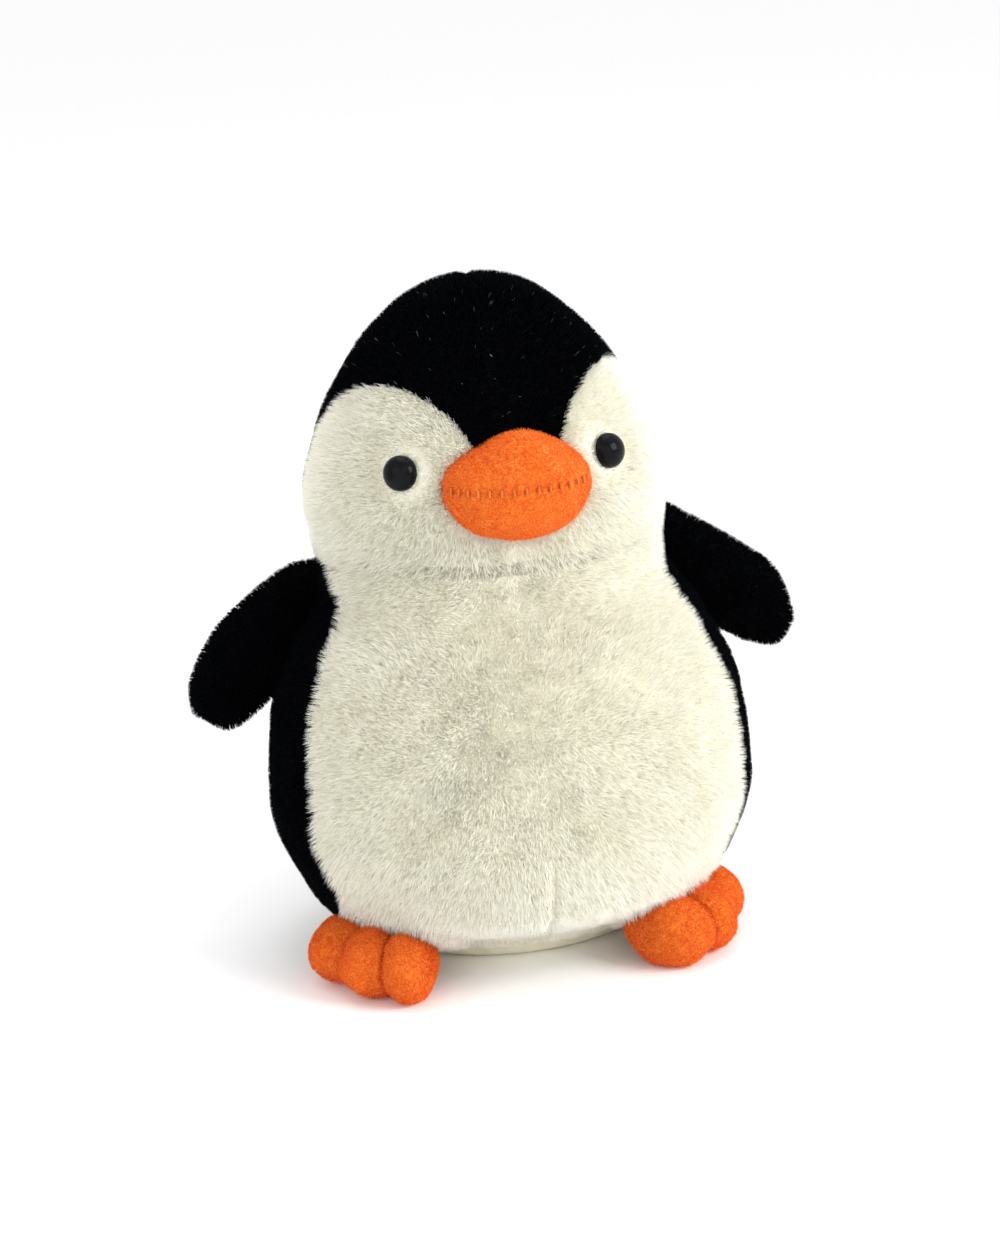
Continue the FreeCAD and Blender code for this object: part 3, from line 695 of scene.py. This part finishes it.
for side, sign in (("left", 1), ("right", -1)):
    def held(p, sign=sign):
        off, along = crease_distance(p, sign)
        groove = np.exp(-((off / 1.5) ** 2)) * ramp(-12, -6, along) * ramp(3, 6, p[:, 2])
        seam = np.exp(-(((p[:, 2] - SOLE_HEIGHT) / 1.0) ** 2)) * 0.6
        return np.clip(np.maximum(groove, seam), 0, 1)

    nodes = [f"foot_{side}_top_panel", f"foot_{side}_sole_panel", f"foot_{side}_stuffing"]
    whole = stuffed(gathered(f"foot_{side}_form", nodes), 1.5, 0.5, 1.2, held, smooth=13)

    def groove(p, n, sign=sign):
        off, along = crease_distance(p, sign)
        reach = ramp(-16, -8, along) * (0.35 + 0.65 * ramp(2, 7, p[:, 2]))
        depth = (1.9 * np.exp(-((off / 0.9) ** 2)) + 0.7 * np.exp(-((off / 2.6) ** 2))) * reach
        seam = 0.35 * np.exp(-(((p[:, 2] - SOLE_HEIGHT) / 0.8) ** 2))
        lumps = 0.25 * wave(p, 9, 31)[:, 0]
        return n * (1.5 + lumps - depth - seam)[:, None]

    def drawn_in(p, n, side=side):
        start, share = FOOT_DRAWN_IN[side]
        move = np.zeros_like(p)
        move[:, 0] = -share * np.maximum(0, p[:, 0] - start)
        return move

    reshape(whole, groove)
    reshape(whole, drawn_in)
    reshape(whole, lambda p, n: np.column_stack([0 * p[:, 0], 0 * p[:, 0], np.maximum(0, 0.25 - p[:, 2])]))
    upper = cut_faces(whole, f"foot_{side}_upper", lambda c: c[:, 2] > SOLE_HEIGHT)
    sole = cut_faces(whole, f"foot_{side}_sole", lambda c: c[:, 2] <= SOLE_HEIGHT)
    for piece, stood in ((upper, [nodes[0], nodes[2], f"foot_{side}_toe_stitches"]), (sole, [nodes[1]])):
        piece.data.materials.append(ORANGE_VELBOA)
        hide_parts(*stood)
        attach(piece, f"foot_{side}")
    outward = np.array((sign * math.sin(math.radians(48)), -math.cos(math.radians(48)), -0.3))
    fuzz = nap(f"foot_{side}_nap", whole, 1.1, 5.0, 0.13, ORANGE_FIBRE, 700 + sign,
               lambda p, n: np.tile(outward * 0.7, (len(p), 1)) + 0.3 * wave(p, 6, 41),
               keep=lambda p, n: p[:, 2] > 1.2)
    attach(fuzz, f"foot_{side}")
    bpy.data.objects.remove(whole)

# ---------------------------------------------------------------- beak
BEAK_SEAM = 184.3
BEAK_STITCHES = 15
BEAK_STITCH_SPREAD = 66.0


def beak_held(p):
    return np.exp(-(((p[:, 2] - BEAK_SEAM) / 1.0) ** 2)) * 0.9


def beak_shape(p, n):
    """Lozenge outline, a soft seam with a dimple at each stitch, and gentle lumps."""
    height = (p[:, 2] - BEAK_CENTRE[2]) / BEAK_HALF[2]
    squeeze = -0.05 * np.clip(height - 0.2, 0, 1) * (p[:, 0] - 7)
    seam = np.exp(-(((p[:, 2] - BEAK_SEAM) / 0.9) ** 2))
    bearing = np.degrees(np.arctan2(p[:, 0] - BEAK_CENTRE[0], -(p[:, 1] - BEAK_CENTRE[1]) * 1.2))
    step = 2 * BEAK_STITCH_SPREAD / (BEAK_STITCHES - 1)
    phase = (bearing + BEAK_STITCH_SPREAD) / step
    peak = 1.3 * np.exp(-(((p[:, 0] - 7) / 8) ** 2)) - 0.9 * ramp(8, 20, np.abs(p[:, 0] - 6))
    dimple = np.exp(-(((phase - np.round(phase)) * step / 2.2) ** 2)) * (np.abs(bearing) < BEAK_STITCH_SPREAD + 3)
    near = np.exp(-(((p[:, 2] - BEAK_SEAM) / 2.4) ** 2))
    depth = 0.35 * seam + 0.55 * dimple * near
    move = n * (0.6 + 0.3 * wave(p, 11, 55)[:, 0] - depth)[:, None]
    move[:, 0] += squeeze
    move[:, 2] += peak * ramp(0.2, 0.9, height)
    return move


beak_nodes = ["beak_upper_panel", "beak_lower_panel", "beak_stuffing"]
beak = stuffed(gathered("beak_form", beak_nodes), 1.6, 0.6, 1.4, beak_held)
reshape(beak, beak_shape)
beak_upper = cut_faces(beak, "beak_upper", lambda c: c[:, 2] > BEAK_SEAM)
beak_lower = cut_faces(beak, "beak_lower", lambda c: c[:, 2] <= BEAK_SEAM)
for piece, stood in ((beak_upper, ["beak_upper_panel", "beak_stuffing"]), (beak_lower, ["beak_lower_panel"])):
    piece.data.materials.append(ORANGE_VELBOA)
    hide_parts(*stood)
    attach(piece, "torso")
beak_nap = nap("beak_nap", beak, 0.9, 5.0, 0.13, ORANGE_FIBRE, 760,
               lambda p, n: np.tile((0, 0, -0.6), (len(p), 1)) + 0.35 * wave(p, 5, 43),
               keep=lambda p, n: p[:, 1] < -50)
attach(beak_nap, "torso")
bpy.data.objects.remove(beak)

# ---------------------------------------------------------------- flippers
HINGE = np.array((79.0, 2.0, 125.0))
HINGE_TILT = 20.8
BLADE_LEAN = 38.0
PADDLE_STEP = 1.2
PADDLE_HALF = 6.6
PADDLE_EDGE = 9.0
# Outlines seen from the front, across and up, from the root at the neck round the tip to the root below.
PADDLES = {
    "left": [
        (60, 158), (69.5, 157), (74, 152.7), (85.6, 146.3), (93.6, 140), (103, 133.7), (109, 128),
        (114.5, 118), (116.8, 106), (115.5, 101), (112.4, 100.4), (113.2, 97.5), (108.5, 94.5),
        (101.4, 95.8), (93.2, 99.5), (85, 105), (76, 104), (66, 125),
    ],
    "right": [
        (57, 150), (66, 150.5), (75, 149.5), (88, 141.5), (103, 130), (112, 117.5), (116.5, 108),
        (117.2, 99), (115.5, 94.2), (111.6, 93.6), (106, 87.3), (98, 88.5), (90.5, 94),
        (84, 100), (75, 99), (66, 120),
    ],
}
ROOT_CORNERS = 3


def paddle(name, outline, sign):
    """A flat cushion filling the outline, thin at its rim and full at its root."""
    ring = np.array(outline, float)
    free = np.ones(len(ring), bool)
    free[-ROOT_CORNERS:] = False
    for _ in range(2):
        after, free_after = np.roll(ring, -1, 0), free
        ring = np.stack([0.75 * ring + 0.25 * after, 0.25 * ring + 0.75 * after], 1).reshape(-1, 2)
        free = np.repeat(free_after, 2)
    after = np.roll(ring, -1, 0)
    low, high = ring.min(0) - 1, ring.max(0) + 1
    across = np.arange(low[0], high[0], PADDLE_STEP)
    upward = np.arange(low[1], high[1], PADDLE_STEP)
    spots = np.stack(np.meshgrid(across, upward, indexing="ij"), -1)
    flat = spots.reshape(-1, 1, 2)
    crosses = (ring[:, 1] > flat[..., 1]) != (after[:, 1] > flat[..., 1])
    rise = np.where(np.abs(after[:, 1] - ring[:, 1]) < 1e-9, 1e-9, after[:, 1] - ring[:, 1])
    where = ring[:, 0] + (flat[..., 1] - ring[:, 1]) / rise * (after[:, 0] - ring[:, 0])
    inside = (np.sum(crosses & (flat[..., 0] < where), 1) % 2 == 1).reshape(spots.shape[:2])
    edge = after - ring
    t = np.clip(np.sum((flat - ring) * edge, -1) / np.sum(edge * edge, -1), 0, 1)
    gap = np.linalg.norm(flat - (ring + t[..., None] * edge), axis=-1)
    gap[:, ~free] = 99
    near = np.clip(gap.min(1).reshape(spots.shape[:2]) / PADDLE_EDGE, 0, 1)
    half = PADDLE_HALF * np.sqrt(1 - (1 - near) ** 2) + 0.6
    cells = inside[:-1, :-1] & inside[1:, :-1] & inside[1:, 1:] & inside[:-1, 1:]
    form = bmesh.new()
    corner = {}

    def at(i, j, face):
        if (i, j, face) not in corner:
            x, z = spots[i, j]
            corner[i, j, face] = form.verts.new((sign * x * MM, (HINGE[1] + face * half[i, j]) * MM, z * MM))
        return corner[i, j, face]

    for i, j in np.argwhere(cells):
        square = [(i, j), (i + 1, j), (i + 1, j + 1), (i, j + 1)]
        for face in (1, -1):
            form.faces.new([at(*c, face) for c in square[::face]])
        steps = ((0, -1), (1, 0), (0, 1), (-1, 0))
        for k, (di, dj) in enumerate(steps):
            if not (0 <= i + di < cells.shape[0] and 0 <= j + dj < cells.shape[1] and cells[i + di, j + dj]):
                a, b = square[k], square[(k + 1) % 4]
                form.faces.new([at(*a, 1), at(*b, 1), at(*b, -1), at(*a, -1)])
    bmesh.ops.recalc_face_normals(form, faces=form.faces)
    mesh = bpy.data.meshes.new(name)
    form.to_mesh(mesh)
    form.free()
    obj = bpy.data.objects.new(name, mesh)
    bpy.context.scene.collection.objects.link(obj)
    return obj


for side, sign, lift in (("left", 1, 4), ("right", -1, -4)):
    hinge = HINGE * np.array((sign, 1, 1))
    lean = math.radians(HINGE_TILT + lift)
    span = np.array((sign * math.cos(lean), 0, math.sin(lean)))
    blade = math.radians(BLADE_LEAN)
    fall = np.array((sign * math.cos(blade), 0, -math.sin(blade)))

    def rooted(p, hinge=hinge, span=span):
        return 1 - ramp(2, 12, (p - hinge) @ span)

    nodes = [f"flipper_{side}_front_panel", f"flipper_{side}_rear_panel", f"flipper_{side}_stuffing"]
    form = stuffed(paddle(f"flipper_{side}_form", PADDLES[side], sign), 1.7, 0.3, 1.2, rooted, smooth=4)
    points, normals, triangles = mesh_arrays(form.data)
    tree = BVHTree.FromPolygons([Vector(p) for p in points], [tuple(t) for t in triangles])
    thick = np.full(len(points), 20.0)
    for i, (p, n) in enumerate(zip(points, normals)):
        hit = tree.ray_cast(Vector(p - n * 0.05), Vector(-n))
        if hit[0] is not None:
            thick[i] = hit[3]
    inset = np.minimum(1.6, thick * 0.15)
    core = points - normals * inset[:, None]
    form.data.vertices.foreach_set("co", (core * MM).astype(np.float32).ravel())
    form.data.update()
    lookup = KDTree(len(core))
    for i, p in enumerate(core):
        lookup.insert(p, i)
    lookup.balance()

    def pile_length(p, lookup=lookup, inset=inset):
        found = np.array([inset[lookup.find(q)[1]] for q in p])
        return found + 1.2 + 0.15 * wave(p, 8, 61)[:, 0]

    fur = nap(f"flipper_{side}_pile", form, pile_length, 5.0, 0.15, BLACK_FIBRE, 800 + 10 * sign,
              lambda p, n, fall=fall: np.tile(fall * 0.3, (len(p), 1)) + 0.12 * wave(p, 9, 62), wild=0.17, gather=0.1)
    front = cut_faces(form, f"flipper_{side}_front_skin", lambda c: c[:, 1] <= 2)
    rear = cut_faces(form, f"flipper_{side}_rear_skin", lambda c: c[:, 1] > 2)
    for piece, stood in ((front, [nodes[0], nodes[2]]), (rear, [nodes[1]])):
        piece.data.materials.append(BLACK_BACKING)
        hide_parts(*stood)
        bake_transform(piece)
    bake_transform(fur)
    bpy.data.objects.remove(form)

# ---------------------------------------------------------------- CAD nodes that stay
for name, material in (
    ("eye_left", EYE), ("eye_right", EYE), ("eye_washer_left", WASHER), ("eye_washer_right", WASHER),
    ("beak_seam_stitches", THREAD),
):
    mesh = bpy.data.objects[name].data
    if mesh.materials:
        for i in range(len(mesh.materials)):
            bpy.data.objects[name].material_slots[i].material = material
    else:
        mesh.materials.append(material)

# ---------------------------------------------------------------- floor, lights, camera
FLOOR_HALF = 60.0
floor_mesh = bpy.data.meshes.new("floor")
floor_mesh.from_pydata(
    [
        (-FLOOR_HALF, -FLOOR_HALF, 0), (FLOOR_HALF, -FLOOR_HALF, 0),
        (FLOOR_HALF, FLOOR_HALF, 0), (-FLOOR_HALF, FLOOR_HALF, 0),
    ],
    [], [(0, 1, 2, 3)],
)
floor = bpy.data.objects.new("floor", floor_mesh)
bpy.context.scene.collection.objects.link(floor)
floor_paint, _, floor_shader = base_material("pale_floor", 0.9, 0.0, 0.0, (1, 1, 1))
floor_shader.inputs["Base Color"].default_value = (0.97, 0.97, 0.97, 1)
floor_mesh.materials.append(floor_paint)

world = bpy.data.worlds.new("studio")
world.use_nodes = True
world.node_tree.nodes["Background"].inputs["Color"].default_value = (1, 1, 1, 1)
world.node_tree.nodes["Background"].inputs["Strength"].default_value = 1.0
bpy.context.scene.world = world


def softbox(name, place, aim, size, power):
    light = bpy.data.lights.new(name, "AREA")
    light.shape = "SQUARE"
    light.size = size
    light.energy = power
    obj = bpy.data.objects.new(name, light)
    bpy.context.scene.collection.objects.link(obj)
    obj.location = place
    obj.rotation_euler = (Vector(aim) - Vector(place)).to_track_quat("-Z", "Y").to_euler()
    return obj


softbox("key", (1.25, -0.95, 0.9), (0, 0, 0.12), 0.9, 25)
softbox("fill", (-1.2, -0.9, 0.7), (0, 0, 0.12), 1.0, 3)
softbox("top", (0.0, 0.3, 1.6), (0, 0, 0.12), 1.0, 6)

CAMERA_AZIMUTH, CAMERA_ELEVATION, CAMERA_ROLL = (math.radians(v) for v in (-9.4, 16.0, 4.2))
CAMERA_TARGET = Vector((0, 0, 0.120))
CAMERA_DISTANCE = 1.0
SENSOR = 36.0
VIEW_HEIGHT = 0.46813
CAMERA_SHIFT = (0.0044, -0.0068)
LIGHT_BOUNCES, FIBRE_BOUNCES = 16, 8
back_axis = Vector((
    math.sin(CAMERA_AZIMUTH) * math.cos(CAMERA_ELEVATION),
    -math.cos(CAMERA_AZIMUTH) * math.cos(CAMERA_ELEVATION),
    math.sin(CAMERA_ELEVATION),
))
level = Vector((math.cos(CAMERA_AZIMUTH), math.sin(CAMERA_AZIMUTH), 0))
rise = back_axis.cross(level)
image_right = level * math.cos(CAMERA_ROLL) - rise * math.sin(CAMERA_ROLL)
image_up = level * math.sin(CAMERA_ROLL) + rise * math.cos(CAMERA_ROLL)
lens = bpy.data.cameras.new("camera")
lens.sensor_width = SENSOR
lens.lens = SENSOR * CAMERA_DISTANCE / VIEW_HEIGHT
lens.shift_x, lens.shift_y = CAMERA_SHIFT
camera = bpy.data.objects.new("camera", lens)
bpy.context.scene.collection.objects.link(camera)
turn = Matrix((image_right, image_up, back_axis)).transposed().to_4x4()
camera.matrix_world = Matrix.Translation(CAMERA_TARGET + back_axis * CAMERA_DISTANCE) @ turn
bpy.context.scene.camera = camera
bpy.context.scene.view_settings.view_transform = "Standard"
bpy.context.scene.cycles.max_bounces = LIGHT_BOUNCES
bpy.context.scene.cycles.diffuse_bounces = FIBRE_BOUNCES
